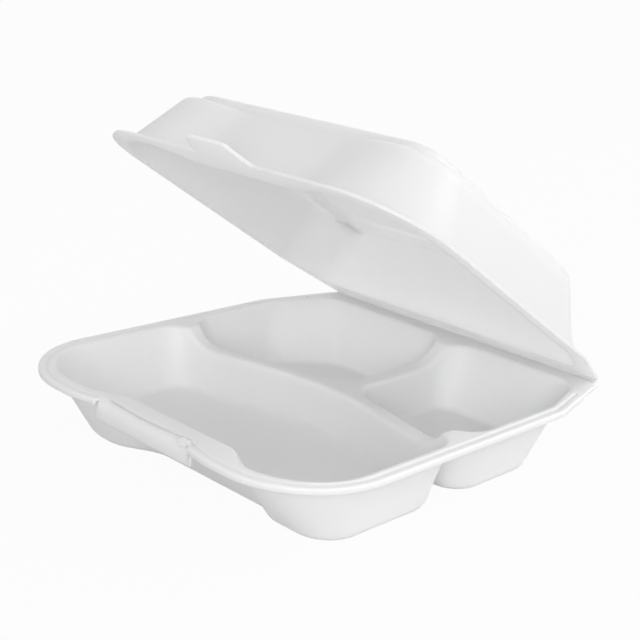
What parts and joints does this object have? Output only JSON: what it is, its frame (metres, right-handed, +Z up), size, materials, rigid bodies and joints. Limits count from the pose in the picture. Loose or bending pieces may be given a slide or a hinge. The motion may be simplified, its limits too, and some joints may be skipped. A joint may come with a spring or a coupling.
{
  "type": "hinged foam food container",
  "caption": "Square foam food container with a hinged lid, three compartments, a turned-down rim and a front tab that locks in a slit.",
  "frame": {"origin": "on the resting plane under the tray, in the middle of the plan of the whole open container", "axes": "+Z up, -Y towards the front with the lock, +Y towards the crease, +X to the right seen from the front"},
  "size_m": [0.21, 0.2199, 0.1605],
  "materials": {
    "tray_foam": "soft satin foam skin",
    "lid_foam": "soft satin foam skin"
  },
  "bodies": {
    "tray": {"tray": "tray_foam"},
    "lid": {"lid": "lid_foam"}
  },
  "joints": [
    {"name": "lid_hinge", "type": "hinge", "parent": "tray", "child": "lid", "pos_m": [0, 0.10975, 0.0342], "axis": [-1, 0, 0], "range_deg": [-32.3, 127.7]}
  ]
}
